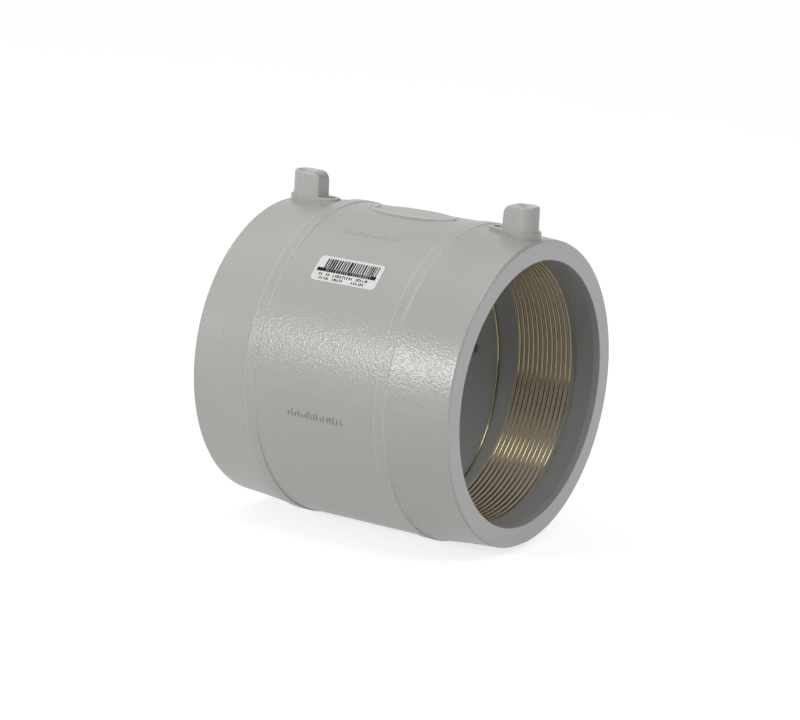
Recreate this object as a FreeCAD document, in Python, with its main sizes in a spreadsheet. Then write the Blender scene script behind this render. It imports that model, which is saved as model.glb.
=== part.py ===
"""Electrofusion coupler for plastic pipe, standing on its lower end.

The axis is +Z and the origin is the centre of the lower end face. The two terminal
shrouds point along -Y, one near each end. All sizes are millimetres.
"""
import FreeCAD
import Part
import math
import os
import Sketcher

from FreeCAD import Placement, Rotation, Vector

os.makedirs("parts", exist_ok=True)
doc = FreeCAD.newDocument("electrofusion_coupler")


# Driving dimensions

DRIVING_SIZES = {
    # pipe that each end takes, and the radial room round it
    "pipe_diameter": 125.0,
    "pipe_clearance": 0.7,
    # moulded wall
    "body_length": 143.4,
    "wall_thickness": 12.8,
    "mouth_flare": 0.7,
    "lead_in_depth": 3.2,
    "band_offset": 33.2,
    "band_width": 6.1,
    "band_height": 0.6,
    "band_slope": 0.35,
    "shoulder_rise": 0.1,
    "waist_inset": 14.7,
    "waist_drop": 1.7,
    "end_taper": 2.7,
    "end_round": 1.1,
    # resistance wire, and the recess in the bore that it lies in
    "wire_width": 0.9,
    "wire_seat_gap": 0.05,
    "recess_depth": 0.6,
    "winding_inset": 14.0,
    "winding_pitch": 2.63,
    "winding_turns": 26.0,
    "upper_zone_turns": 12.4,
    "lower_zone_turns": 11.9,
    "tail_sweep_degrees": 7.5,
    # centre stop
    "stop_width": 4.0,
    "stop_length": 2.0,
    "stop_reach": 1.2,
    "stop_count": 3,
    # terminals
    "terminal_inset": 9.5,
    "terminal_height": 12.5,
    "shroud_radius": 5.95,
    "shroud_draft_degrees": 1.0,
    "shroud_bore_radius": 4.5,
    "shroud_depth": 12.1,
    "fin_reach": 10.3,
    "fin_width": 9.0,
    "fin_top_round": 4.5,
    "terminal_edge_round": 1.1,
    "flange_rise": 0.7,
    "flange_radius": 7.4,
    "flange_nose_radius": 4.2,
    "flange_edge_round": 0.4,
    # contact pins
    "insert_gap": 0.02,
    "contact_radius": 2.0,
    "contact_depth_below_rim": 3.2,
    "contact_tip_chamfer": 0.5,
    "contact_collar_radius": 3.0,
    "contact_collar_height": 0.8,
    "contact_stem_radius": 1.5,
    "contact_stem_length": 5.0,
    # fusion indicators
    "indicator_spacing": 15.2,
    "indicator_radius": 1.9,
    "indicator_length": 3.2,
    "indicator_depth": 0.4,
    # raised plate between the terminals
    "plate_length": 45.2,
    "plate_width": 21.2,
    "plate_rise": 0.15,
    "plate_skirt": 2.0,
    # stuck-on label
    "label_length": 35.8,
    "label_width": 14.2,
    "label_thickness": 0.15,
    "label_corner": 2.2,
    "label_turn_degrees": 44.3,
    "label_shift": -0.3,
}

sizes = doc.addObject("Spreadsheet::Sheet", "sizes")
for row, (alias, value) in enumerate(DRIVING_SIZES.items(), start=1):
    sizes.set("A%d" % row, alias)
    sizes.set("B%d" % row, str(value))
    sizes.setAlias("B%d" % row, alias)
doc.recompute()


# Places that several pieces share, as formulas of the driving dimensions. Radii are
# from the coupler's axis. Heights are from its middle, where every piece is drawn
# before it is lifted by half the coupler's length.

END_HEIGHT = "(sizes.body_length / 2)"
TERMINAL_HEIGHT = "(%s - sizes.terminal_inset)" % END_HEIGHT
INDICATOR_HEIGHT = "(%s - sizes.indicator_spacing)" % TERMINAL_HEIGHT
BORE_RADIUS = "(sizes.pipe_diameter / 2 + sizes.pipe_clearance)"
RECESS_RADIUS = "(%s + sizes.recess_depth)" % BORE_RADIUS
MIDDLE_RADIUS = "(%s + sizes.wall_thickness)" % BORE_RADIUS
END_RADIUS = "(%s - sizes.end_taper)" % MIDDLE_RADIUS
MID_WALL_RADIUS = "(%s + sizes.wall_thickness / 2)" % BORE_RADIUS
FLANGE_TOP_RADIUS = "(%s + sizes.flange_rise)" % MIDDLE_RADIUS
RIM_RADIUS = "(%s + sizes.terminal_height)" % MIDDLE_RADIUS
FLOOR_RADIUS = "(%s - sizes.shroud_depth)" % RIM_RADIUS
STEM_END_RADIUS = "(%s - sizes.contact_stem_length)" % FLOOR_RADIUS
FIN_END_HEIGHT = "(%s - sizes.fin_reach)" % TERMINAL_HEIGHT
LABEL_RADIUS = "(%s + sizes.insert_gap)" % MIDDLE_RADIUS

ENDS = {"upper": 1, "lower": -1}


def value_of(formula):
    return float(sizes.evalExpression(formula))


def towards(sign, formula):
    """The same place at the upper (+1) or the lower (-1) end."""
    return formula if sign > 0 else "-" + formula


def lift(piece):
    piece.setExpression(".Placement.Base.z", END_HEIGHT)


# Helpers for sketches and features

def new_body(name):
    body = doc.addObject("PartDesign::Body", name)
    body.Label = name
    return body


def origin_plane(body, role):
    for feature in body.Origin.OriginFeatures:
        if feature.Role == role:
            return feature
    raise ValueError(role)


def new_sketch(body, name, role, offset="0"):
    """A sketch on one of the body's planes. XZ_Plane faces -Y, so its offset is a radius."""
    sketch = body.newObject("Sketcher::SketchObject", name)
    sketch.AttachmentSupport = [(origin_plane(body, role), "")]
    sketch.MapMode = "FlatFace"
    sketch.setExpression(".AttachmentOffset.Base.z", offset)
    return sketch


def bind(sketch, kind, formula, *places):
    """Add a constraint that follows a formula."""
    index = sketch.addConstraint(
        Sketcher.Constraint(kind, *places, value_of(formula)))
    sketch.setExpression("Constraints[%d]" % index, formula)


def bind_point(sketch, geometry, position, across, along):
    bind(sketch, "DistanceX", across, geometry, position)
    bind(sketch, "DistanceY", along, geometry, position)


def draw_polygon(sketch, corners):
    """A closed outline whose corners follow formulas."""
    points = [Vector(value_of(across), value_of(along), 0) for across, along in corners]
    count = len(points)
    for index in range(count):
        following = points[(index + 1) % count]
        sketch.addGeometry(Part.LineSegment(points[index], following), False)
    for index in range(count):
        sketch.addConstraint(Sketcher.Constraint(
            "Coincident", index, 2, (index + 1) % count, 1))
    for index, (across, along) in enumerate(corners):
        bind_point(sketch, index, 1, across, along)


def draw_circle(sketch, across, along, radius):
    centre = Vector(value_of(across), value_of(along), 0)
    circle = Part.Circle(centre, Vector(0, 0, 1), value_of(radius))
    index = sketch.addGeometry(circle, False)
    bind_point(sketch, index, 3, across, along)
    bind(sketch, "Radius", radius, index)


def revolve(body, sketch, name):
    feature = body.newObject("PartDesign::Revolution", name)
    feature.Profile = sketch
    feature.ReferenceAxis = (sketch, ["V_Axis"])
    feature.Angle = 360.0


def pad(body, sketch, name, length, midplane=False):
    feature = body.newObject("PartDesign::Pad", name)
    feature.Profile = sketch
    feature.setExpression("Length", length)
    feature.Midplane = midplane
    return feature


def cut_round(body, name, along, radius, top, depth):
    """A round hole sunk towards the axis from the plane y = -top."""
    sketch = new_sketch(body, name + "_outline", "XZ_Plane", top)
    draw_circle(sketch, "0", along, radius)
    feature = body.newObject("PartDesign::Pocket", name)
    feature.Profile = sketch
    feature.setExpression("Length", depth)


def round_edges(body, name, radius, wanted):
    """Round the edges of the body so far that the test picks out."""
    doc.recompute()
    base = body.Tip
    edges = [
        "Edge%d" % (index + 1)
        for index, edge in enumerate(base.Shape.Edges)
        if wanted(edge)
    ]
    if not edges:
        raise RuntimeError("no edge found for " + name)
    feature = body.newObject("PartDesign::Fillet", name)
    feature.Base = (base, edges)
    feature.setExpression("Radius", radius)


# Coupler body: the wall, one revolved outline with the two bands, the tapered ends,
# the lead-in of each mouth and the shallow recess that the winding lies in

coupler = new_body("coupler_body")
lift(coupler)

WALL_UPPER_HALF = [
    (MIDDLE_RADIUS, "sizes.band_offset"),
    (MIDDLE_RADIUS + " + sizes.band_height", "(sizes.band_offset + sizes.band_slope)"),
    (MIDDLE_RADIUS + " + sizes.band_height",
     "(sizes.band_offset + sizes.band_width - sizes.band_slope)"),
    (MIDDLE_RADIUS + " + sizes.shoulder_rise", "(sizes.band_offset + sizes.band_width)"),
    (MIDDLE_RADIUS + " - sizes.waist_drop", "(%s - sizes.waist_inset)" % END_HEIGHT),
    (END_RADIUS, END_HEIGHT),
    (BORE_RADIUS + " + sizes.mouth_flare", END_HEIGHT),
    (BORE_RADIUS, "(%s - sizes.lead_in_depth)" % END_HEIGHT),
    (BORE_RADIUS, "(%s - sizes.winding_inset + sizes.wire_width + sizes.recess_depth)"
     % END_HEIGHT),
    (RECESS_RADIUS, "(%s - sizes.winding_inset + sizes.wire_width)" % END_HEIGHT),
]
WALL_LOWER_HALF = [(across, "-" + along) for across, along in reversed(WALL_UPPER_HALF)]

wall_sketch = new_sketch(coupler, "wall_outline", "XZ_Plane")
draw_polygon(wall_sketch, WALL_UPPER_HALF + WALL_LOWER_HALF)
revolve(coupler, wall_sketch, "wall")


def is_end_rim(edge):
    """The outer circle of an end face."""
    at_end = abs(abs(edge.CenterOfMass.z) - value_of(END_HEIGHT)) < 0.01
    return at_end and abs(edge.BoundBox.XMax - value_of(END_RADIUS)) < 0.01


round_edges(coupler, "end_rims", "sizes.end_round", is_end_rim)


# Coupler body: the terminals. Each is one tall block, round where the shroud is, with
# sides that draw in to the flat end of a fin. It stands on a teardrop flange that
# reaches to the well of the fusion indicator.

def draw_block(sketch, sign):
    """A part circle round the shroud, sides that touch it and the fin's flat end."""
    radius = value_of("sizes.shroud_radius")
    axis = value_of(towards(sign, TERMINAL_HEIGHT))
    half_fin = value_of("sizes.fin_width / 2")
    reach = value_of("sizes.fin_reach")
    lean = math.asin(radius / math.hypot(half_fin, reach)) - math.atan2(half_fin, reach)

    def touch(side):
        return Vector(side * radius * math.cos(lean), axis - sign * radius * math.sin(lean), 0)

    def corner(side):
        return Vector(side * half_fin, axis - sign * reach, 0)

    sketch.addGeometry([
        Part.Arc(touch(1), Vector(0, axis + sign * radius, 0), touch(-1)),
        Part.LineSegment(touch(-1), corner(-1)),
        Part.LineSegment(corner(-1), corner(1)),
        Part.LineSegment(corner(1), touch(1)),
    ], False)
    # an arc is stored anticlockwise, so at the lower end its two ends change places
    first, last = (1, 2) if sign > 0 else (2, 1)
    sketch.addConstraint([
        Sketcher.Constraint("Tangent", 0, last, 1, 1),
        Sketcher.Constraint("Coincident", 1, 2, 2, 1),
        Sketcher.Constraint("Coincident", 2, 2, 3, 1),
        Sketcher.Constraint("Tangent", 3, 2, 0, first),
    ])
    bind_point(sketch, 0, 3, "0", towards(sign, TERMINAL_HEIGHT))
    bind(sketch, "Radius", "sizes.shroud_radius", 0)
    bind_point(sketch, 2, 1, "-sizes.fin_width / 2", towards(sign, FIN_END_HEIGHT))
    bind_point(sketch, 2, 2, "sizes.fin_width / 2", towards(sign, FIN_END_HEIGHT))


def add_terminal(end, sign):
    """The block, its rounded top end and edges, the shroud's bore and the stem's hole."""
    axis_height = towards(sign, TERMINAL_HEIGHT)
    sketch = new_sketch(coupler, end + "_terminal_outline", "XZ_Plane", RIM_RADIUS)
    draw_block(sketch, sign)
    block = pad(coupler, sketch, end + "_terminal",
                "%s - %s" % (RIM_RADIUS, MID_WALL_RADIUS))
    block.Reversed = True
    block.setExpression("TaperAngle", "sizes.shroud_draft_degrees")
    rim = -value_of(RIM_RADIUS)
    fin_end = value_of(towards(sign, FIN_END_HEIGHT))
    top_round = value_of("sizes.fin_top_round")

    def is_top_end(edge):
        middle = edge.CenterOfMass
        return abs(middle.y - rim) < 0.01 and abs(middle.z - fin_end) < 0.01

    def is_outer_edge(edge):
        """Along the rim, over the rounded top end and down the fin's two corners."""
        box = edge.BoundBox
        above_flange = box.YMin < -value_of(FLANGE_TOP_RADIUS) - 1
        this_end = box.ZMax * sign > 0 and box.ZMin * sign > 0
        along_rim = abs(box.YMin - rim) < 0.01 and abs(box.YMax - rim) < 0.01
        one_side = box.XMax * box.XMin > 0
        at_fin_end = abs(edge.CenterOfMass.z - fin_end) < top_round
        return above_flange and this_end and (along_rim or one_side and at_fin_end)

    round_edges(coupler, end + "_terminal_top_round", "sizes.fin_top_round", is_top_end)
    round_edges(coupler, end + "_terminal_edge_rounds", "sizes.terminal_edge_round",
                is_outer_edge)
    cut_round(coupler, end + "_shroud_bore", axis_height,
              "sizes.shroud_bore_radius", RIM_RADIUS, "sizes.shroud_depth")
    cut_round(coupler, end + "_stem_hole", axis_height,
              "sizes.contact_stem_radius + sizes.insert_gap", FLOOR_RADIUS,
              "sizes.contact_stem_length")


def draw_flange(sketch, sign):
    """Teardrop: a wide round at the shroud, a small one at the well, smooth sides."""
    wide = value_of("sizes.flange_radius")
    nose = value_of("sizes.flange_nose_radius")
    wide_z = value_of(towards(sign, TERMINAL_HEIGHT))
    nose_z = value_of(towards(sign, INDICATOR_HEIGHT))
    lean = math.asin((wide - nose) / abs(wide_z - nose_z))

    def touch(side, centre_z, radius):
        return Vector(side * radius * math.cos(lean),
                      centre_z - sign * radius * math.sin(lean), 0)

    wide_far = Vector(0, wide_z + sign * wide, 0)
    nose_far = Vector(0, nose_z - sign * nose, 0)
    sketch.addGeometry([
        Part.Arc(touch(1, wide_z, wide), wide_far, touch(-1, wide_z, wide)),
        Part.LineSegment(touch(-1, wide_z, wide), touch(-1, nose_z, nose)),
        Part.Arc(touch(-1, nose_z, nose), nose_far, touch(1, nose_z, nose)),
        Part.LineSegment(touch(1, nose_z, nose), touch(1, wide_z, wide)),
    ], False)
    first, last = (1, 2) if sign > 0 else (2, 1)
    for joint in ((0, last, 1, 1), (1, 2, 2, first), (2, last, 3, 1), (3, 2, 0, first)):
        sketch.addConstraint(Sketcher.Constraint("Tangent", *joint))
    bind_point(sketch, 0, 3, "0", towards(sign, TERMINAL_HEIGHT))
    bind_point(sketch, 2, 3, "0", towards(sign, INDICATOR_HEIGHT))
    bind(sketch, "Radius", "sizes.flange_radius", 0)
    bind(sketch, "Radius", "sizes.flange_nose_radius", 2)


def add_flange(end, sign):
    sketch = new_sketch(coupler, end + "_flange_outline", "XZ_Plane", MID_WALL_RADIUS)
    draw_flange(sketch, sign)
    pad(coupler, sketch, end + "_flange",
        "%s - %s" % (FLANGE_TOP_RADIUS, MID_WALL_RADIUS))
    top = -value_of(FLANGE_TOP_RADIUS)

    def is_flange_edge(edge):
        box = edge.BoundBox
        return abs(box.YMin - top) < 0.01 and abs(box.YMax - top) < 0.01 \
            and box.ZMax * sign > 0

    round_edges(coupler, end + "_flange_edge_round", "sizes.flange_edge_round",
                is_flange_edge)


# Each tail of the wire leaves the winding at tail_sweep_degrees from the terminal and
# runs straight through the wall to the end of the contact pin's stem.

def wire_radius():
    """Radius at which the wire's centre lies in the recess."""
    return value_of(RECESS_RADIUS + " - sizes.wire_seat_gap - sizes.wire_width / 2")


def tail_start(sign):
    """Where the winding ends and the tail begins, on the wire's centre line."""
    sweep = value_of("sizes.tail_sweep_degrees")
    climb = value_of("sizes.winding_pitch") * sweep / 360
    height = value_of("%s - sizes.winding_inset" % END_HEIGHT) - climb
    angle = math.radians(-90 + sign * sweep)
    return Vector(wire_radius() * math.cos(angle), wire_radius() * math.sin(angle),
                  sign * height)


def tail_end(sign):
    """Where the tail meets the end of the stem."""
    return Vector(0, -value_of(STEM_END_RADIUS), sign * value_of(TERMINAL_HEIGHT))


def add_tail_channel(end, sign):
    run = tail_end(sign) - tail_start(sign)
    channel = coupler.newObject("PartDesign::SubtractiveCylinder", end + "_tail_channel")
    channel.setExpression("Radius", "sizes.wire_width / sqrt(3) + sizes.wire_seat_gap")
    channel.Height = run.Length + value_of("sizes.wire_width")
    channel.Placement = Placement(tail_start(sign), Rotation(Vector(0, 0, 1), run))


for end_name, end_sign in ENDS.items():
    add_flange(end_name, end_sign)
    add_terminal(end_name, end_sign)
    add_tail_channel(end_name, end_sign)
    cut_round(coupler, end_name + "_indicator_well",
              towards(end_sign, INDICATOR_HEIGHT),
              "sizes.indicator_radius + sizes.insert_gap", FLANGE_TOP_RADIUS,
              "sizes.indicator_depth + sizes.indicator_length")


# Coupler body: the raised oval plate between the terminals, flat and left bare, with
# a sloping skirt

def draw_oval(sketch, half_length, half_width):
    """An ellipse with its long axis along the coupler."""
    long_end = Vector(0, value_of(half_length), 0)
    wide_side = Vector(value_of(half_width), 0, 0)
    oval = sketch.addGeometry(Part.Ellipse(long_end, wide_side, Vector(0, 0, 0)), False)
    sketch.exposeInternalGeometry(oval)
    long_axis, short_axis = [index for index, item in enumerate(sketch.Geometry)
                             if isinstance(item, Part.LineSegment)]
    sketch.addConstraint(Sketcher.Constraint("Coincident", oval, 3, -1, 1))
    sketch.addConstraint(Sketcher.Constraint("Vertical", long_axis))
    bind(sketch, "Distance", "2 * " + half_length, long_axis)
    bind(sketch, "Distance", "2 * " + half_width, short_axis)


PLATE_TOP_RADIUS = "(%s + sizes.plate_rise)" % MIDDLE_RADIUS
HALF_PLATE_LENGTH = "(sizes.plate_length / 2)"
HALF_PLATE_WIDTH = "(sizes.plate_width / 2)"

plate_top = new_sketch(coupler, "plate_top_outline", "XZ_Plane", PLATE_TOP_RADIUS)
draw_oval(plate_top, HALF_PLATE_LENGTH, HALF_PLATE_WIDTH)
plate_foot = new_sketch(coupler, "plate_foot_outline", "XZ_Plane",
                        "%s - sizes.plate_skirt" % PLATE_TOP_RADIUS)
draw_oval(plate_foot, "(%s + sizes.plate_skirt)" % HALF_PLATE_LENGTH,
          "(%s + sizes.plate_skirt)" % HALF_PLATE_WIDTH)
plate = coupler.newObject("PartDesign::AdditiveLoft", "plate")
plate.Profile = plate_foot
plate.Sections = [plate_top]
plate.Ruled = True


# Coupler body: the centre stop, nubs on the bore that the pipe ends come up against

stop_sketch = new_sketch(coupler, "stop_outline", "XY_Plane")
stop_tip = "-(%s - sizes.stop_reach)" % BORE_RADIUS
draw_polygon(stop_sketch, [
    ("-" + MID_WALL_RADIUS, "-sizes.stop_width / 2"),
    (stop_tip, "-sizes.stop_width / 2"),
    (stop_tip, "sizes.stop_width / 2"),
    ("-" + MID_WALL_RADIUS, "sizes.stop_width / 2"),
])
stop = pad(coupler, stop_sketch, "stop", "sizes.stop_length", midplane=True)
doc.recompute()
stops = coupler.newObject("PartDesign::PolarPattern", "stops")
stops.Originals = [stop]
stops.Axis = (stop_sketch, ["N_Axis"])
stops.Angle = 360.0
stops.setExpression("Occurrences", "sizes.stop_count")
coupler.Tip = stops


# Contact pins, each moulded into the floor of its shroud

def lay_over(piece, sign, foot_radius, height):
    """Turn a piece drawn upright so that it points outwards, with its foot at a radius."""
    piece.Placement = Placement(Vector(0, 0, 0), Rotation(Vector(1, 0, 0), 90))
    piece.setExpression(".Placement.Base.y", "-" + foot_radius)
    piece.setExpression(".Placement.Base.z",
                        "%s + (%s)" % (END_HEIGHT, towards(sign, height)))


def make_contact_pin(end, sign):
    pin = new_body(end + "_contact_pin")
    tip = "(sizes.shroud_depth - sizes.contact_depth_below_rim)"
    sketch = new_sketch(pin, end + "_pin_outline", "XZ_Plane")
    draw_polygon(sketch, [
        ("0", "-sizes.contact_stem_length"),
        ("sizes.contact_stem_radius", "-sizes.contact_stem_length"),
        ("sizes.contact_stem_radius", "0"),
        ("sizes.contact_collar_radius", "0"),
        ("sizes.contact_collar_radius", "sizes.contact_collar_height"),
        ("sizes.contact_radius", "sizes.contact_collar_height"),
        ("sizes.contact_radius", tip + " - sizes.contact_tip_chamfer"),
        ("sizes.contact_radius - sizes.contact_tip_chamfer", tip),
        ("0", tip),
    ])
    revolve(pin, sketch, end + "_pin_turning")
    lay_over(pin, sign, FLOOR_RADIUS, TERMINAL_HEIGHT)
    return pin


# Fusion indicators: plugs at the bottom of their wells

def make_indicator(end, sign):
    plug = doc.addObject("Part::Cylinder", end + "_fusion_indicator")
    plug.setExpression("Radius", "sizes.indicator_radius")
    plug.setExpression("Height", "sizes.indicator_length")
    lay_over(plug, sign, "(%s - sizes.indicator_depth - sizes.indicator_length)"
             % FLANGE_TOP_RADIUS, INDICATOR_HEIGHT)
    return plug


# Label: a thin film round the wall, cut out with rounded corners

def make_label():
    shells = []
    for name, radius in (("label_outside", LABEL_RADIUS + " + sizes.label_thickness"),
                         ("label_inside", LABEL_RADIUS)):
        shell = doc.addObject("Part::Cylinder", name)
        shell.setExpression("Radius", radius)
        shell.setExpression("Height", "sizes.label_length * 2")
        shell.setExpression(".Placement.Base.z", "-sizes.label_length")
        shells.append(shell)
    film = doc.addObject("Part::Cut", "label_film")
    film.Base, film.Tool = shells

    blank = doc.addObject("Part::Box", "label_blank")
    blank.setExpression("Length", "sizes.label_width")
    blank.setExpression("Width", MIDDLE_RADIUS)
    blank.setExpression("Height", "sizes.label_length")
    blank.setExpression(".Placement.Base.x", "-sizes.label_width / 2")
    blank.setExpression(".Placement.Base.y", "-%s * 1.5" % MIDDLE_RADIUS)
    blank.setExpression(".Placement.Base.z", "-sizes.label_length / 2")
    doc.recompute()
    corner = value_of("sizes.label_corner")
    stencil = doc.addObject("Part::Fillet", "label_stencil")
    stencil.Base = blank
    stencil.Edges = [
        (index + 1, corner, corner)
        for index, edge in enumerate(blank.Shape.Edges)
        if edge.BoundBox.YLength > value_of(MIDDLE_RADIUS) / 2
    ]

    label = doc.addObject("Part::Common", "label")
    label.Base = film
    label.Tool = stencil
    label.Placement = Placement(
        Vector(0, 0, 0), Rotation(Vector(0, 0, 1), value_of("sizes.label_turn_degrees")))
    label.setExpression(".Placement.Base.z", END_HEIGHT + " + sizes.label_shift")
    return label


# Resistance wire: one solid with six long flanks. It runs from the lower contact pin
# through the wall, round the bore in a close zone, a steep crossing past the middle
# and a second close zone, and through the wall to the upper pin.

def winding_stages():
    """Pitch and turns of each stage, from the lower end up, without the tails."""
    tail_turns = value_of("sizes.tail_sweep_degrees") / 360
    lower = value_of("sizes.lower_zone_turns")
    upper = value_of("sizes.upper_zone_turns")
    crossing = value_of("sizes.winding_turns") - lower - upper
    pitch = value_of("sizes.winding_pitch")
    free_height = value_of("sizes.body_length - 2 * sizes.winding_inset")
    crossing_pitch = (free_height - pitch * (lower + upper)) / crossing
    return [
        (pitch, lower - tail_turns),
        (crossing_pitch, crossing),
        (pitch, upper - tail_turns),
    ]


def wire_section():
    """Corners of the section, outwards and upwards, with flats to the bore and wall."""
    corner_radius = value_of("sizes.wire_width") / math.sqrt(3)
    angles = [math.radians(30 + 60 * index) for index in range(6)]
    return [(corner_radius * math.cos(angle), corner_radius * math.sin(angle))
            for angle in angles]


def turn_angle(turns):
    """Direction from the axis after some turns: left-handed, starting at the terminal."""
    return math.radians(-90 - 360 * turns)


def flank_edge(radius, first_turn, last_turn, height, pitch):
    """One edge of the wire over half a turn or less, true to the helix at each step."""
    steps = 6
    fractions = [step / steps for step in range(steps + 1)]
    span = last_turn - first_turn
    points = []
    for fraction in fractions:
        angle = turn_angle(first_turn + span * fraction)
        points.append(Vector(radius * math.cos(angle), radius * math.sin(angle),
                             height + pitch * span * fraction))
    slopes = []
    for angle in (turn_angle(first_turn), turn_angle(last_turn)):
        sweep = 2 * math.pi * radius
        slope = Vector(sweep * math.sin(angle), -sweep * math.cos(angle), pitch)
        slopes.append(slope * span)
    curve = Part.BSplineCurve()
    curve.interpolate(Points=points, Parameters=fractions, InitialTangent=slopes[0],
                      FinalTangent=slopes[1], Scale=False)
    return curve.toShape()


def tail_end_corners(sign):
    """The tail's end section, flat against the stem's end."""
    return [tail_end(sign) + Vector(sign * out, 0, up) for out, up in wire_section()]


def strip(edges):
    """The six flanks between neighbouring edges."""
    return [Part.makeRuledSurface(edge, neighbour)
            for edge, neighbour in zip(edges, edges[1:] + edges[:1])]


def wire_cap(corners):
    return Part.Face(Part.makePolygon(corners + corners[:1]))


def make_winding():
    turn = value_of("sizes.tail_sweep_degrees") / 360
    height = tail_start(ENDS["lower"]).z
    edges_up = []
    for pitch, stage_turns in winding_stages():
        pieces = math.ceil(stage_turns * 2)
        span = stage_turns / pieces
        for _ in range(pieces):
            edges_up.append([
                flank_edge(wire_radius() + out, turn, turn + span, height + up, pitch)
                for out, up in wire_section()
            ])
            turn += span
            height += span * pitch

    lower_end = tail_end_corners(ENDS["lower"])
    upper_end = tail_end_corners(ENDS["upper"])
    lower_tail = [Part.makeLine(corner, edge.Vertexes[0].Point)
                  for corner, edge in zip(lower_end, edges_up[0])]
    upper_tail = [Part.makeLine(edge.Vertexes[-1].Point, corner)
                  for corner, edge in zip(upper_end, edges_up[-1])]
    faces = [wire_cap(lower_end), wire_cap(upper_end)]
    for edges in [lower_tail] + edges_up + [upper_tail]:
        faces.extend(strip(edges))
    shell = Part.makeShell(faces)
    shell.sewShape()
    wire = doc.addObject("Part::Feature", "resistance_wire")
    wire.Shape = Part.makeSolid(shell)
    lift(wire)
    return wire


pieces = [coupler, make_winding(), make_label()]
for end_name, end_sign in ENDS.items():
    pieces.append(make_contact_pin(end_name, end_sign))
    pieces.append(make_indicator(end_name, end_sign))
doc.recompute()


# Check every object and every piece, then write one file for each piece

for item in doc.Objects:
    if "Invalid" in item.State or "Error" in item.State:
        raise RuntimeError("%s failed: %s" % (item.Name, item.State))
for piece in pieces:
    shape = piece.Shape
    if shape.isNull() or not shape.isValid():
        raise RuntimeError("%s has no valid shape" % piece.Label)
    print("%s: %d solid, %.1f mm3, z %.2f to %.2f" % (
        piece.Label, len(shape.Solids), shape.Volume,
        shape.BoundBox.ZMin, shape.BoundBox.ZMax))
for piece in pieces:
    piece.Shape.exportStep("parts/%s.step" % piece.Label)
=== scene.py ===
"""Looks of the electrofusion coupler: a grained grey moulding, a brass winding in its
bore, a stuck-on label, and the studio that the photograph was taken in.

The coupler stands on its lower end, with +Z along its axis. In the photograph it lies
on its side with the terminals up, so "up" in the picture is -Y here.
"""

import math

import bpy
from mathutils import Matrix, Vector


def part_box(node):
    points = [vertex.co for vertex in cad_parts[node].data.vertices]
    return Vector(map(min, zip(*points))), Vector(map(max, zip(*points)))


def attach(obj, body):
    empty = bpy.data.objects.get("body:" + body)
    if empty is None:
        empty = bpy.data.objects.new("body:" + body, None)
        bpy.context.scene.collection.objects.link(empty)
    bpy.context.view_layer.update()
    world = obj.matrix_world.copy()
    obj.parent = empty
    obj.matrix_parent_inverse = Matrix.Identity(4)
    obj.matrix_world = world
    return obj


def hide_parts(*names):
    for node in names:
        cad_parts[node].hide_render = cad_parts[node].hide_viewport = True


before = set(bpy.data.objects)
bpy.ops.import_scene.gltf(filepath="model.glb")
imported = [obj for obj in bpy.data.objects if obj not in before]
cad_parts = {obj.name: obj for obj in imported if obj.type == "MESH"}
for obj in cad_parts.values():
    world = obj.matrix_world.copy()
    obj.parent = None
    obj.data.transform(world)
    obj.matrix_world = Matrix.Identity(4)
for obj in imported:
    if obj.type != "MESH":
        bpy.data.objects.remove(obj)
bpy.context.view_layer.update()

MM = 0.001


# Sizes taken from the frame, and the few that its boxes don't give, in metres

BODY_LOW, BODY_HIGH = (Vector(corner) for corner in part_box("coupler_body"))
LENGTH = BODY_HIGH.z - BODY_LOW.z
MIDDLE = Vector((0, 0, (BODY_HIGH.z + BODY_LOW.z) / 2))
WALL_RADIUS = 76.0 * MM

WIRE_WIDTH = 0.9 * MM
WIRE_CENTRE_RADIUS = 63.3 * MM
WINDING_INSET = 14.0 * MM
WINDING_PITCH = 2.63 * MM
WINDING_TURNS = 26.0
UPPER_ZONE_TURNS = 12.4
LOWER_ZONE_TURNS = 11.9
TAIL_SWEEP = math.radians(7.5)
STEM_END_RADIUS = 71.4 * MM
TERMINAL_INSET = 9.5 * MM

BAND_INNER_EDGE = 33.4 * MM
BAND_OUTER_EDGE = 39.1 * MM
PLATE_HALF_LENGTH = 22.6 * MM
PLATE_HALF_WIDTH = 10.6 * MM

LABEL_RADIUS = 76.17 * MM
LABEL_TURN = math.radians(44.3)
LABEL_SHIFT = -0.3 * MM


# Helpers for meshes and node trees

def add_mesh(name, vertices, faces, material, smooth=True):
    """A new piece of the coupler, riding on its one body."""
    mesh = bpy.data.meshes.new(name)
    mesh.from_pydata([tuple(vertex) for vertex in vertices], [], faces)
    mesh.validate()
    for polygon in mesh.polygons:
        polygon.use_smooth = smooth
    mesh.materials.append(material)
    piece = bpy.data.objects.new(name, mesh)
    bpy.context.collection.objects.link(piece)
    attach(piece, "root")
    return piece


def on_wall(radius, turn, height):
    """A point at an angle from the terminals (-Y), growing towards +X, and a height."""
    return Vector((radius * math.sin(turn), -radius * math.cos(turn), height))


def stagger(index, spread):
    """A repeatable uneven value from 0 to 1 for each index, of another kind per spread."""
    return (math.sin(index * 12.9898 + spread) * 43758.5453) % 1.0


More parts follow.
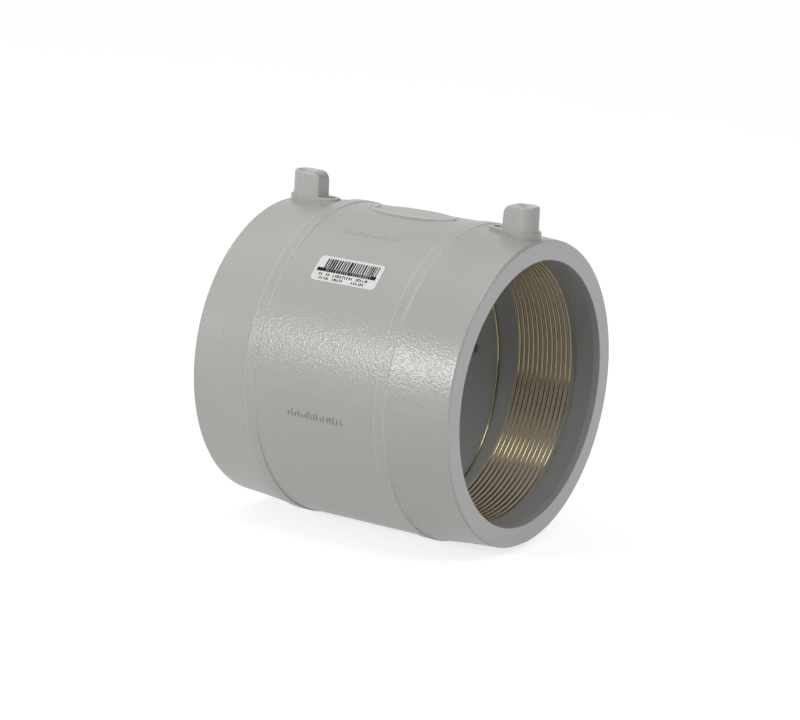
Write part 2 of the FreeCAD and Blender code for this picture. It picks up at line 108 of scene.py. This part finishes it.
class Nodes:
    """A short way to write a node tree."""

    def __init__(self, tree):
        self.tree = tree

    def add(self, kind, inputs=None, **settings):
        node = self.tree.nodes.new(kind)
        for name, value in settings.items():
            setattr(node, name, value)
        for key, value in (inputs or {}).items():
            self.join(value, node.inputs[key])
        return node

    def join(self, value, socket):
        """Link an output to the socket, or set a plain value on it."""
        if isinstance(value, bpy.types.NodeSocket):
            self.tree.links.new(value, socket)
        else:
            socket.default_value = value

    def math(self, operation, first, second=0.0):
        return self.add("ShaderNodeMath", {0: first, 1: second}, operation=operation).outputs[0]

    def product(self, first, *others):
        for other in others:
            first = self.math("MULTIPLY", first, other)
        return first

    def distance(self, value, middle):
        """How far a value is from a middle one."""
        return self.math("ABSOLUTE", self.math("SUBTRACT", value, middle))

    def length(self, across, along):
        """The length of a flat vector of two parts."""
        flat = self.add("ShaderNodeCombineXYZ", {"X": across, "Y": along})
        node = self.add("ShaderNodeVectorMath", {0: flat.outputs[0]}, operation="LENGTH")
        return node.outputs["Value"]

    def mix(self, factor, first, second):
        node = self.add("ShaderNodeMix", data_type="RGBA")
        self.join(factor, node.inputs["Factor"])
        self.join(first, node.inputs["A"])
        self.join(second, node.inputs["B"])
        return node.outputs["Result"]

    def ramp(self, value, low, high):
        """0 at low, 1 at high, straight between, and level beyond both."""
        node = self.add("ShaderNodeMapRange", clamp=True)
        self.join(value, node.inputs["Value"])
        self.join(low, node.inputs["From Min"])
        self.join(high, node.inputs["From Max"])
        return node.outputs["Result"]

    def noise(self, place, scale, detail=2.0, roughness=0.5):
        node = self.add("ShaderNodeTexNoise", {
            "Vector": place, "Scale": scale, "Detail": detail, "Roughness": roughness})
        return node.outputs["Fac"]

    def bump(self, strength, depth, height, under=None):
        """A bumped normal, on top of the one under it if that is given."""
        inputs = {"Strength": strength, "Distance": depth, "Height": height}
        if under is not None:
            inputs["Normal"] = under
        return self.add("ShaderNodeBump", inputs).outputs[0]


def new_material(name):
    material = bpy.data.materials.new(name)
    material.use_nodes = True
    material.node_tree.nodes.clear()
    return material, Nodes(material.node_tree)


def finish_surface(nodes, settings):
    """A Principled surface as the material's output."""
    shader = nodes.add("ShaderNodeBsdfPrincipled", settings)
    nodes.add("ShaderNodeOutputMaterial", {"Surface": shader.outputs[0]})


def srgb(red, green, blue):
    """A colour as it is seen on a screen, 0 to 255, in the renderer's linear form."""
    def linear(value):
        value /= 255
        return value / 12.92 if value <= 0.04045 else ((value + 0.055) / 1.055) ** 2.4
    return (linear(red), linear(green), linear(blue), 1.0)


# Greys of the moulding

DARK_GREY = srgb(165, 166, 161)
LIGHT_GREY = srgb(172, 173, 168)
TERMINAL_GREY = srgb(176, 177, 173)
# Near white inside the terminal shrouds: painted light in place of the shade in their holes.
SHROUD_PAINTED_LIGHT = srgb(232, 232, 230)
# Light lines on the band edges and on the plate's rim: painted highlight.
PAINTED_HIGHLIGHT_GREY = srgb(225, 226, 222)
# Dark line at the foot of the plate's skirt: painted shadow.
PAINTED_SHADOW_GREY = srgb(130, 131, 128)
BORE_GREY = srgb(152, 153, 152)
# Warmer and lighter between the turns of the winding: painted light from the brass wires.
WOUND_PAINTED_LIGHT = srgb(208, 195, 187)
# Lighter end faces: painted light.
END_FACE_PAINTED_LIGHT = srgb(190, 190, 190)


# Places where the moulding's look changes: each pair says where it starts and is full

OUTSIDE_RADIUS = (70 * MM, 71 * MM)
TERMINAL_RADIUS = (76.9 * MM, 77.3 * MM)
SHROUD_RADIUS = (4.7 * MM, 4.5 * MM)
CLEAR_OF_FACES = (LENGTH / 2 - 1.2 * MM, LENGTH / 2 - 2.2 * MM)
AT_MOUTH = (LENGTH / 2 - 0.6 * MM, LENGTH / 2 - 0.1 * MM)
BEYOND_CROSSING = (24.5 * MM, 26.5 * MM)
WINDING_END = LENGTH / 2 - WINDING_INSET + 0.55 * MM

# Painted highlight on the band edges: its width, and its strength, greater on the terminals' side.
EDGE_HALF_WIDTH = (0.45 * MM, 0.1 * MM)
EDGE_UPPER_SIDE = (0.0, -50 * MM)
EDGE_HIGHLIGHT_LEAST = 0.4
EDGE_HIGHLIGHT_UPPER_GAIN = 0.4

# Painted highlight on the plate's rim and painted shadow at the foot of its skirt.
PLATE_SIDE = (-73 * MM, -74 * MM)
RIM_FROM = (0.92, 0.94)
RIM_TO = (1.01, 1.0)
RIM_HIGHLIGHT_STRENGTH = 0.3
FOOT_FROM = (1.01, 1.03)
FOOT_TO = (1.12, 1.09)
FOOT_SHADOW_STRENGTH = 0.5


# Surface of the moulding: the sizes of its grain, and its gloss

CLOUD_SCALE = 22.0
PEBBLE_SCALE = 980.0
PEBBLE_SMOOTHNESS = 0.4
PEBBLE_SHARE = 0.6
WRINKLE_SCALE = 820.0
GRAIN_DEPTH = 0.15 * MM
FINE_SCALE = 2600.0
FINE_STRENGTH = 0.1
FINE_DEPTH = 0.02 * MM
MOULDING_ROUGHNESS = 0.31
TERMINAL_EXTRA_ROUGHNESS = 0.03
MOULDING_GLOSS = 0.7


# Grey moulding: leather grain outside, smooth end faces and bore

class Zones:
    """Where a point of the moulding is, and how far it belongs to two of its zones."""

    def __init__(self, nodes):
        self.place = nodes.add("ShaderNodeTexCoord").outputs["Object"]
        split = nodes.add("ShaderNodeSeparateXYZ", {"Vector": self.place}).outputs
        self.x = split["X"]
        self.y = split["Y"]
        self.z = split["Z"]
        self.off_middle = nodes.distance(self.z, MIDDLE.z)
        radius = nodes.length(self.x, self.y)
        self.outside = nodes.ramp(radius, *OUTSIDE_RADIUS)
        self.on_terminal = nodes.ramp(radius, *TERMINAL_RADIUS)


def inside_last_turns(nodes, zones):
    """1 between the first and the last turn of the winding, whose ends follow its slope."""
    around = nodes.math("ARCTAN2", zones.x, nodes.math("MULTIPLY", zones.y, -1.0))
    share = nodes.math("FLOORED_MODULO", nodes.math("DIVIDE", around, 2 * math.pi), 1.0)
    upper = nodes.math("GREATER_THAN", zones.z, MIDDLE.z)
    turned = nodes.distance(nodes.math("SUBTRACT", 1.0, upper), share)
    last = nodes.math("SUBTRACT", WINDING_END, nodes.math("MULTIPLY", turned, WINDING_PITCH))
    return nodes.math("LESS_THAN", zones.off_middle, last)


def plate_share(nodes, zones):
    """Distance from the middle of the raised plate as a share of its oval rim's: 1 on it."""
    along = nodes.math("SUBTRACT", zones.z, MIDDLE.z)
    along = nodes.math("DIVIDE", along, PLATE_HALF_LENGTH)
    across = nodes.math("DIVIDE", zones.x, PLATE_HALF_WIDTH)
    squares = nodes.math("ADD", nodes.product(along, along), nodes.product(across, across))
    return nodes.math("SQRT", squares)


def shade_outside(nodes, zones):
    """A slightly cloudy grey, lighter on the terminals, and near white inside their shrouds:
    painted light in place of the shade in their holes.
    """
    clouds = nodes.noise(zones.place, CLOUD_SCALE, detail=3.0)
    grey = nodes.mix(clouds, DARK_GREY, LIGHT_GREY)
    grey = nodes.mix(zones.on_terminal, grey, TERMINAL_GREY)
    along = nodes.math("SUBTRACT", zones.off_middle, LENGTH / 2 - TERMINAL_INSET)
    from_axis = nodes.length(zones.x, along)
    # Near white inside each shroud's hole: painted light.
    in_shroud = nodes.product(zones.on_terminal, nodes.ramp(from_axis, *SHROUD_RADIUS))
    return nodes.mix(in_shroud, grey, SHROUD_PAINTED_LIGHT)


def paint_band_edge_highlights(nodes, zones, grey):
    """Painted highlight: a light line on each edge of both bands, stronger on the side of the
    terminals, which is up.
    """
    upper_side = nodes.ramp(zones.y, *EDGE_UPPER_SIDE)
    strength = nodes.math("ADD", EDGE_HIGHLIGHT_LEAST, nodes.product(upper_side, EDGE_HIGHLIGHT_UPPER_GAIN))
    for edge in (BAND_INNER_EDGE, BAND_OUTER_EDGE):
        at_edge = nodes.ramp(nodes.distance(zones.off_middle, edge), *EDGE_HALF_WIDTH)
        line = nodes.product(zones.outside, at_edge, strength)
        grey = nodes.mix(line, grey, PAINTED_HIGHLIGHT_GREY)
    return grey


def paint_plate_highlight_and_shadow(nodes, zones, grey):
    """Painted highlight on the plate's rim and painted shadow at the foot of its skirt."""
    from_plate = plate_share(nodes, zones)
    by_plate = nodes.ramp(zones.y, *PLATE_SIDE)
    rim = nodes.product(nodes.ramp(from_plate, *RIM_FROM), nodes.ramp(from_plate, *RIM_TO))
    foot = nodes.product(nodes.ramp(from_plate, *FOOT_FROM), nodes.ramp(from_plate, *FOOT_TO))
    grey = nodes.mix(nodes.product(by_plate, rim, RIM_HIGHLIGHT_STRENGTH), grey, PAINTED_HIGHLIGHT_GREY)
    return nodes.mix(nodes.product(by_plate, foot, FOOT_SHADOW_STRENGTH), grey, PAINTED_SHADOW_GREY)


def shade_bore(nodes, zones):
    """Plain grey, and a warmer, lighter one between the close turns of the winding: painted light,
    the warm light that the brass wires throw on the plastic between them.
    """
    beyond_crossing = nodes.ramp(zones.off_middle, *BEYOND_CROSSING)
    in_winding = nodes.product(beyond_crossing, inside_last_turns(nodes, zones))
    # Painted light between the turns of the winding.
    return nodes.mix(in_winding, BORE_GREY, WOUND_PAINTED_LIGHT)


def grain_normal(nodes, zones):
    """Leather grain on the outside of the sleeve, and a faint unevenness everywhere."""
    clear_of_faces = nodes.ramp(zones.off_middle, *CLEAR_OF_FACES)
    grained = nodes.product(zones.outside, clear_of_faces,
                            nodes.math("SUBTRACT", 1.0, zones.on_terminal))
    pebbles = nodes.add("ShaderNodeTexVoronoi", {
        "Vector": zones.place, "Scale": PEBBLE_SCALE, "Smoothness": PEBBLE_SMOOTHNESS},
        feature="SMOOTH_F1").outputs["Distance"]
    wrinkle = nodes.noise(zones.place, WRINKLE_SCALE)
    grain = nodes.math("ADD", nodes.product(pebbles, PEBBLE_SHARE), wrinkle)
    leather = nodes.bump(grained, GRAIN_DEPTH, grain)
    fine = nodes.noise(zones.place, FINE_SCALE)
    return nodes.bump(FINE_STRENGTH, FINE_DEPTH, fine, under=leather)


def make_moulding():
    material, nodes = new_material("grey_moulding")
    zones = Zones(nodes)
    grey = shade_outside(nodes, zones)
    # Painted highlight on the band edges.
    grey = paint_band_edge_highlights(nodes, zones, grey)
    # Painted highlight and painted shadow round the plate.
    grey = paint_plate_highlight_and_shadow(nodes, zones, grey)
    colour = nodes.mix(zones.outside, shade_bore(nodes, zones), grey)
    # The end faces get a lighter grey: painted light.
    at_mouth = nodes.ramp(zones.off_middle, *AT_MOUTH)
    colour = nodes.mix(at_mouth, colour, END_FACE_PAINTED_LIGHT)
    extra = nodes.product(zones.on_terminal, TERMINAL_EXTRA_ROUGHNESS)
    roughness = nodes.math("ADD", MOULDING_ROUGHNESS, extra)
    finish_surface(nodes, {
        "Base Color": colour, "Roughness": roughness, "Specular IOR Level": MOULDING_GLOSS,
        "Normal": grain_normal(nodes, zones)})
    return material


# Brass and film: drawn wire and turned pins with tarnish, and paper-like film and ink

TARNISH_SCALE = 260.0
TARNISH_ROUGHNESS = 0.06
STREAK_SCALE = 3000.0
STREAK_STRENGTH = 0.2
STREAK_DEPTH = 0.02 * MM
FIBRE_SCALE = 1500.0
FIBRE_STRENGTH = 0.08
FIBRE_DEPTH = 0.03 * MM
FIBRE_SHADE = 0.93


def make_brass(name, bright, dull, roughness):
    material, nodes = new_material(name)
    place = nodes.add("ShaderNodeTexCoord").outputs["Object"]
    tarnish = nodes.noise(place, TARNISH_SCALE, detail=4.0, roughness=0.6)
    rough = nodes.math("ADD", roughness, nodes.product(tarnish, TARNISH_ROUGHNESS))
    streaks = nodes.noise(place, STREAK_SCALE)
    finish_surface(nodes, {
        "Base Color": nodes.mix(tarnish, bright, dull), "Metallic": 1.0, "Roughness": rough,
        "Normal": nodes.bump(STREAK_STRENGTH, STREAK_DEPTH, streaks)})
    return material


def make_film(name, colour, roughness, gloss=0.5):
    material, nodes = new_material(name)
    place = nodes.add("ShaderNodeTexCoord").outputs["Object"]
    fibres = nodes.noise(place, FIBRE_SCALE, detail=3.0)
    darker = tuple(channel * FIBRE_SHADE for channel in colour[:3]) + (1.0,)
    finish_surface(nodes, {
        "Base Color": nodes.mix(fibres, darker, colour), "Roughness": roughness,
        "Specular IOR Level": gloss,
        "Normal": nodes.bump(FIBRE_STRENGTH, FIBRE_DEPTH, fibres)})
    return material


MOULDING = make_moulding()
WIRE_BRASS = make_brass("wire_brass", bright=srgb(180, 170, 128), dull=srgb(144, 135, 100),
                        roughness=0.09)
PIN_BRASS = make_brass("pin_brass", bright=srgb(214, 190, 130), dull=srgb(180, 155, 100),
                       roughness=0.3)
LABEL_WHITE = make_film("label_white", srgb(226, 227, 225), roughness=0.4)
LABEL_INK = make_film("label_ink", srgb(20, 20, 21), roughness=0.5, gloss=0.15)
# Near black on the fusion indicators: painted shade for the wells they sit in.
INDICATOR_PAINTED_SHADE = make_film("indicator_painted_shade", srgb(40, 40, 40), roughness=0.6)
# A darker grey than the moulding for the lower row of strokes: painted shade.
MARK_PAINTED_SHADE = make_film("mark_painted_shade", srgb(146, 147, 143), roughness=0.35)

NODE_MATERIALS = {
    "coupler_body": MOULDING,
    "label": LABEL_WHITE,
    "upper_contact_pin": PIN_BRASS,
    "lower_contact_pin": PIN_BRASS,
    "upper_fusion_indicator": INDICATOR_PAINTED_SHADE,
    "lower_fusion_indicator": INDICATOR_PAINTED_SHADE,
}
for node_name, node_material in NODE_MATERIALS.items():
    node_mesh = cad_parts[node_name].data
    node_mesh.materials.clear()
    node_mesh.materials.append(node_material)


# Winding: one round wire from pin to pin, close at each end and steep past the middle

WIRE_SIDES = 10
STEPS_PER_TURN = 144


def winding_path():
    """Points along the wire's centre, from the lower pin's stem to the upper one's."""
    tail_turns = TAIL_SWEEP / (2 * math.pi)
    crossing_turns = WINDING_TURNS - LOWER_ZONE_TURNS - UPPER_ZONE_TURNS
    zone_turns = LOWER_ZONE_TURNS + UPPER_ZONE_TURNS
    rise = LENGTH - 2 * WINDING_INSET - zone_turns * WINDING_PITCH
    count = round((WINDING_TURNS - 2 * tail_turns) * STEPS_PER_TURN)
    path = [Vector((0, -STEM_END_RADIUS, TERMINAL_INSET))]
    for step in range(count + 1):
        turns = tail_turns + (WINDING_TURNS - 2 * tail_turns) * step / count
        crossed = min(max((turns - LOWER_ZONE_TURNS) / crossing_turns, 0.0), 1.0)
        wound = turns - crossed * crossing_turns
        height = WINDING_INSET + wound * WINDING_PITCH + crossed * rise
        path.append(on_wall(WIRE_CENTRE_RADIUS, -2 * math.pi * turns, height))
    path.append(Vector((0, -STEM_END_RADIUS, LENGTH - TERMINAL_INSET)))
    return path


def add_wire_ring(vertices, before, point, after):
    """A ring of corners round one point of the wire's path."""
    along = (after - before).normalized()
    outward = Vector((point.x, point.y, 0)).normalized()
    across = along.cross(outward).normalized()
    outward = across.cross(along)
    for side in range(WIRE_SIDES):
        angle = 2 * math.pi * side / WIRE_SIDES
        offset = outward * math.cos(angle) + across * math.sin(angle)
        vertices.append(point + offset * WIRE_WIDTH / 2)


def make_wire():
    path = winding_path()
    vertices = []
    for index, point in enumerate(path):
        before = path[max(index - 1, 0)]
        after = path[min(index + 1, len(path) - 1)]
        add_wire_ring(vertices, before, point, after)
    faces = []
    last = (len(path) - 1) * WIRE_SIDES
    for ring in range(0, last, WIRE_SIDES):
        for side in range(WIRE_SIDES):
            first = ring + side
            second = ring + (side + 1) % WIRE_SIDES
            faces.append((first, second, second + WIRE_SIDES, first + WIRE_SIDES))
    faces.append(tuple(reversed(range(WIRE_SIDES))))
    faces.append(tuple(range(last, last + WIRE_SIDES)))
    wire = add_mesh("resistance_winding", vertices, faces, WIRE_BRASS)
    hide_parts("resistance_wire")


make_wire()


# Raised marks: an arrowhead at each end of the plate and two rows of strokes on the wall

ARROW_TIP = 24.6 * MM
ARROW_LENGTH = 5.0 * MM
ARROW_WIDTH = 6.4 * MM
ARROW_RISE = 0.5 * MM
ARROW_ROOT = 0.3 * MM
ARROW_TAPER = 0.22
ARROW_TAPER_MIDDLE = 0.6

STROKE_WIDTH = 0.45 * MM
STROKE_LINK = 1.0 * MM
STROKE_LINK_SPREAD = 0.8
STROKE_LEAST_STEP = 1.3
STROKE_ROOT = 0.2 * MM
STROKE_SLOPE = 0.12 * MM


def add_prism_faces(faces, start, corners):
    """The sides and the top of a low block, whose ring at the root comes before its top's."""
    top = start + corners
    for index in range(corners):
        following = (index + 1) % corners
        faces.append((start + index, start + following, top + following, top + index))
    faces.append(tuple(range(top, top + corners)))


def add_ridge(vertices, faces, low, high, turn, rise):
    """A low raised stroke on the wall, between (along, down) places round a turn."""
    start = len(vertices)
    for radius, inset in ((WALL_RADIUS - STROKE_ROOT, 0.0), (WALL_RADIUS + rise, STROKE_SLOPE)):
        near = low[0] + inset
        far = high[0] - inset
        upper = low[1] + inset
        lower = high[1] - inset
        for along, down in ((near, upper), (near, lower), (far, lower), (far, upper)):
            vertices.append(on_wall(radius, turn + down / WALL_RADIUS, MIDDLE.z + along))
    add_prism_faces(faces, start, 4)


def add_raised_row(vertices, faces, first, last, turn, height, rise):
    """A row of small raised strokes, which spell nothing."""
    along = first
    index = 0
    while along < last:
        low = (along, -height / 2 * stagger(index, 3.0))
        high = (along + STROKE_WIDTH, height / 2)
        add_ridge(vertices, faces, low, high, turn, rise)
        if index % 2 == 0:
            level = height * (stagger(index, 4.0) - 0.5) * STROKE_LINK_SPREAD
            low = (along + STROKE_WIDTH, level)
            high = (along + STROKE_WIDTH + STROKE_LINK, level + STROKE_WIDTH)
            add_ridge(vertices, faces, low, high, turn, rise)
        along += (STROKE_LEAST_STEP + stagger(index, 8.0)) * MM
        index += 1


def add_arrowhead(vertices, faces, direction):
    """A low raised arrowhead at one end of the plate, pointing away from its middle."""
    tip = direction * ARROW_TIP
    back = tip - direction * ARROW_LENGTH
    side = direction * ARROW_WIDTH / 2
    middle = tip - direction * ARROW_LENGTH * ARROW_TAPER_MIDDLE
    start = len(vertices)
    for radius, taper in ((WALL_RADIUS - ARROW_ROOT, 0.0), (WALL_RADIUS + ARROW_RISE, ARROW_TAPER)):
        for across, along in ((0.0, tip), (-side, back), (side, back)):
            place = along + (middle - along) * taper
            turn = across * (1 - taper) / WALL_RADIUS
            vertices.append(on_wall(radius, turn, MIDDLE.z + place))
    add_prism_faces(faces, start, 3)


def make_raised_marks():
    vertices = []
    faces = []
    for direction in (1, -1):
        add_arrowhead(vertices, faces, direction)
    add_raised_row(vertices, faces, first=-19.5 * MM, last=13.0 * MM,
                   turn=math.radians(25.2), height=3.4 * MM, rise=0.12 * MM)
    marks = add_mesh("raised_marks", vertices, faces, MOULDING, smooth=False)


def make_raised_line():
    vertices = []
    faces = []
    add_raised_row(vertices, faces, first=-14.7 * MM, last=14.8 * MM,
                   turn=math.radians(97.8), height=3.7 * MM, rise=0.3 * MM)
    # Its strokes are a darker grey than the moulding: painted shade.
    line = add_mesh("raised_line", vertices, faces, MARK_PAINTED_SHADE, smooth=False)


make_raised_marks()
make_raised_line()


# Label print: bars, a dark band at their foot and two rows of strokes, in mm (along, down)

INK_RADIUS = LABEL_RADIUS + 0.02 * MM
PATCH_ROWS = 3

BARS_LEFT = -13.4
BARS_RIGHT = 15.6
BARS_TOP = -5.7
BAR_EXTRA_WIDTH = 0.9
BAND_TOP = -0.1
BAND_FOOT = 1.9
BAND_LEFT_END = (-16.6, -12.4)
BAND_RIGHT_END = (13.2, 16.0)
BAND_BARS_TOP = 0.0

UPPER_WORDS = ((-14.4, -13.0), (-10.4, -8.6), (-6.6, 4.6), (6.4, 13.4))
LOWER_WORDS = ((-13.4, -8.2), (-6.0, -0.6), (4.6, 11.6))
LETTER_WIDTH = 0.5
LETTER_LEAST_STEP = 0.8
LETTER_EXTRA_STEP = 0.6
LETTER_DROP_SHARE = 0.25
LINK_START = 0.4
LINK_END = 1.1
LINK_HEIGHT = 0.4
LINK_SPREAD = 0.7


def add_patch(vertices, faces, low, high):
    """A curved rectangle on the label, between two places from its centre."""
    left, top = (part * MM for part in low)
    right, foot = (part * MM for part in high)
    start = len(vertices)
    for row in range(PATCH_ROWS + 1):
        down = top + (foot - top) * row / PATCH_ROWS
        turn = LABEL_TURN + down / LABEL_RADIUS
        for along in (left, right):
            vertices.append(on_wall(INK_RADIUS, turn, MIDDLE.z + LABEL_SHIFT + along))
    for first in range(start, start + 2 * PATCH_ROWS, 2):
        faces.append((first, first + 2, first + 3, first + 1))


def add_bars(vertices, faces, first, last, top, foot, least, gap):
    """Bars of uneven width, the narrowest as wide as least, and gaps uneven about gap."""
    along = first
    index = 0
    while along < last:
        width = least + BAR_EXTRA_WIDTH * stagger(index, 1.0) ** 2
        end = min(along + width, last)
        add_patch(vertices, faces, (along, top), (end, foot))
        along = end + gap * (0.5 + stagger(index, 2.0))
        index += 1


def add_writing(vertices, faces, words, top, height):
    """Words as rows of short uneven strokes, which spell nothing."""
    index = 0
    for first, last in words:
        along = first
        while along < last:
            drop = LETTER_DROP_SHARE * height * stagger(index, 5.0)
            add_patch(vertices, faces, (along, top + drop), (along + LETTER_WIDTH, top + height))
            if index % 3 == 0:
                link = top + height * stagger(index, 6.0) * LINK_SPREAD
                add_patch(vertices, faces, (along + LINK_START, link),
                          (along + LINK_END, link + LINK_HEIGHT))
            along += LETTER_LEAST_STEP + LETTER_EXTRA_STEP * stagger(index, 7.0)
            index += 1


def make_label_print():
    vertices = []
    faces = []
    add_bars(vertices, faces, BARS_LEFT, BARS_RIGHT, BARS_TOP, BAND_TOP, least=0.56, gap=0.46)
    for left, right in (BAND_LEFT_END, BAND_RIGHT_END):
        add_patch(vertices, faces, (left, BAND_TOP), (right, BAND_FOOT))
    add_bars(vertices, faces, BAND_LEFT_END[1], BAND_RIGHT_END[0], BAND_BARS_TOP, BAND_FOOT,
             least=0.8, gap=0.2)
    add_writing(vertices, faces, UPPER_WORDS, top=2.5, height=1.7)
    add_writing(vertices, faces, LOWER_WORDS, top=4.7, height=1.5)
    ink = add_mesh("label_print", vertices, faces, LABEL_INK)


make_label_print()


# Camera: the photograph's own, found by fitting the coupler's outline and bore

PHOTO_WIDTH = 800
FOCAL_PIXELS = 3000
SENSOR_WIDTH = 36
CLIP_START = 0.05
CLIP_END = 50
CAMERA_DISTANCE = 1.4425
CAMERA_YAW = math.radians(32.49)
CAMERA_PITCH = math.radians(14.0)
CAMERA_ROLL = math.radians(2.82)
CAMERA_TURN = Matrix.Rotation(math.radians(1.05), 3, "Z")
OFFSET_RIGHT_PIXELS = 4.22
OFFSET_DOWN_PIXELS = 8.5
PICTURE_UP = CAMERA_TURN @ Vector((0, -1, 0))

TO_CAMERA = CAMERA_TURN @ Vector((
    math.cos(CAMERA_YAW) * math.cos(CAMERA_PITCH),
    -math.sin(CAMERA_PITCH),
    math.sin(CAMERA_YAW) * math.cos(CAMERA_PITCH)))
LEVEL_RIGHT = PICTURE_UP.cross(TO_CAMERA).normalized()
LEVEL_UP = TO_CAMERA.cross(LEVEL_RIGHT)
CAMERA_RIGHT = LEVEL_RIGHT * math.cos(CAMERA_ROLL) + LEVEL_UP * math.sin(CAMERA_ROLL)
CAMERA_UP = LEVEL_UP * math.cos(CAMERA_ROLL) - LEVEL_RIGHT * math.sin(CAMERA_ROLL)


def make_camera():
    data = bpy.data.cameras.new("photo_camera")
    data.sensor_width = SENSOR_WIDTH
    data.lens = data.sensor_width * FOCAL_PIXELS / PHOTO_WIDTH
    data.shift_x = -OFFSET_RIGHT_PIXELS / PHOTO_WIDTH
    data.shift_y = OFFSET_DOWN_PIXELS / PHOTO_WIDTH
    data.clip_start = CLIP_START
    data.clip_end = CLIP_END
    camera = bpy.data.objects.new("photo_camera", data)
    bpy.context.collection.objects.link(camera)
    position = MIDDLE + TO_CAMERA * CAMERA_DISTANCE
    turn = Matrix((CAMERA_RIGHT, CAMERA_UP, TO_CAMERA)).transposed()
    camera.matrix_world = Matrix.Translation(position) @ turn.to_4x4()
    bpy.context.scene.camera = camera


make_camera()


# Studio: the pale floor that the coupler lies on, and two dark cards that its brass shows

FLOOR_REACH = 6.0
FLOOR_PLACE = BODY_HIGH.y
FLOOR_SHADE = 0.8
FLOOR_GLOW = 0.765
FLOOR_LIT_SHARE = 0.44
CARD_SHADE = 0.015
AMBIENT = 0.47


def grey_level(level):
    return (level, level, level, 1)


def seen_directly(nodes):
    """1 where the camera sees a surface itself or in a reflection or through glass."""
    path = nodes.add("ShaderNodeLightPath").outputs
    mirrored = nodes.math("MAXIMUM", path["Is Glossy Ray"], path["Is Transmission Ray"])
    return nodes.math("MAXIMUM", path["Is Camera Ray"], mirrored)


def make_floor_surface(nodes):
    """Pale matt, which glows by a share where it is seen so that it stays near white."""
    matt = nodes.add("ShaderNodeBsdfDiffuse", {"Color": grey_level(FLOOR_SHADE)})
    lit = nodes.add("ShaderNodeBsdfDiffuse", {"Color": grey_level(FLOOR_LIT_SHARE)})
    light = nodes.add("ShaderNodeEmission", {"Color": grey_level(FLOOR_GLOW)})
    shown = nodes.add("ShaderNodeAddShader", {0: lit.outputs[0], 1: light.outputs[0]})
    surface = nodes.add("ShaderNodeMixShader", {
        "Fac": seen_directly(nodes), 1: matt.outputs[0], 2: shown.outputs[0]})
    return surface.outputs[0]


def make_card_surface(nodes):
    return nodes.add("ShaderNodeBsdfDiffuse", {"Color": grey_level(CARD_SHADE)}).outputs[0]


def add_stage_sheet(name, corners, make_surface):
    """A flat sheet that is clear from behind. Its corners turn anticlockwise as seen."""
    material, nodes = new_material(name)
    front = make_surface(nodes)
    clear = nodes.add("ShaderNodeBsdfTransparent")
    behind = nodes.add("ShaderNodeNewGeometry").outputs["Backfacing"]
    surface = nodes.add("ShaderNodeMixShader", {
        "Fac": behind, 1: front, 2: clear.outputs[0]})
    nodes.add("ShaderNodeOutputMaterial", {"Surface": surface.outputs[0]})
    mesh = bpy.data.meshes.new(name)
    mesh.from_pydata([tuple(corner) for corner in corners], [], [(0, 1, 2, 3)])
    mesh.materials.append(material)
    sheet = bpy.data.objects.new(name, mesh)
    bpy.context.collection.objects.link(sheet)


def add_card(name, direction, distance, width, low, high):
    """An upright card round the coupler, from one height over its middle to another."""
    towards_card = Vector((direction[0], 0, direction[1])).normalized()
    sideways = towards_card.cross(Vector((0, -1, 0)))
    centre = MIDDLE + towards_card * distance
    half = sideways * width / 2
    foot = Vector((0, -low, 0))
    top = Vector((0, -high, 0))
    add_stage_sheet(name, [
        centre - half + foot, centre + half + foot,
        centre + half + top, centre - half + top], make_card_surface)


add_stage_sheet("floor", [
    (-FLOOR_REACH, FLOOR_PLACE, -FLOOR_REACH), (FLOOR_REACH, FLOOR_PLACE, -FLOOR_REACH),
    (FLOOR_REACH, FLOOR_PLACE, FLOOR_REACH), (-FLOOR_REACH, FLOOR_PLACE, FLOOR_REACH)],
    make_floor_surface)
add_card("front_card", direction=(0.62, 0.78), distance=1.75, width=2.6, low=-0.075, high=1.12)
add_card("far_card", direction=(-0.62, 0.78), distance=1.5, width=2.2, low=0.45, high=2.4)


def make_world():
    """White where it is seen, and a softer light on matt surfaces."""
    world = bpy.data.worlds.new("studio")
    bpy.context.scene.world = world
    world.use_nodes = True
    world.node_tree.nodes.clear()
    nodes = Nodes(world.node_tree)
    strength = nodes.math("MAXIMUM", seen_directly(nodes), AMBIENT)
    light = nodes.add("ShaderNodeBackground", {"Color": grey_level(1), "Strength": strength})
    nodes.add("ShaderNodeOutputWorld", {"Surface": light.outputs[0]})


make_world()


# Lamps, each placed by its direction from the coupler's middle, which it faces

def add_softbox(name, direction, distance, size, share):
    """A lamp that gives a share of full white light to a surface facing it."""
    position = MIDDLE + Vector(direction).normalized() * distance
    data = bpy.data.lights.new(name, "AREA")
    data.shape = "RECTANGLE"
    data.size, data.size_y = size
    data.energy = share * (math.pi * distance) ** 2
    lamp = bpy.data.objects.new(name, data)
    bpy.context.collection.objects.link(lamp)
    lamp.location = position
    lamp.rotation_mode = "QUATERNION"
    lamp.rotation_quaternion = (position - MIDDLE).to_track_quat("Z", "Y")


add_softbox("overhead", direction=(0.22, -0.72, 0.65), distance=1.8, size=(0.35, 0.9), share=0.28)
add_softbox("side_strip", direction=(0.84, -0.3, -0.3), distance=1.5, size=(0.15, 0.4), share=0.33)
add_softbox("key", direction=(0.0, -0.87, -0.5), distance=1.8, size=(1.4, 1.4), share=0.1)

bpy.context.scene.view_settings.view_transform = "Standard"
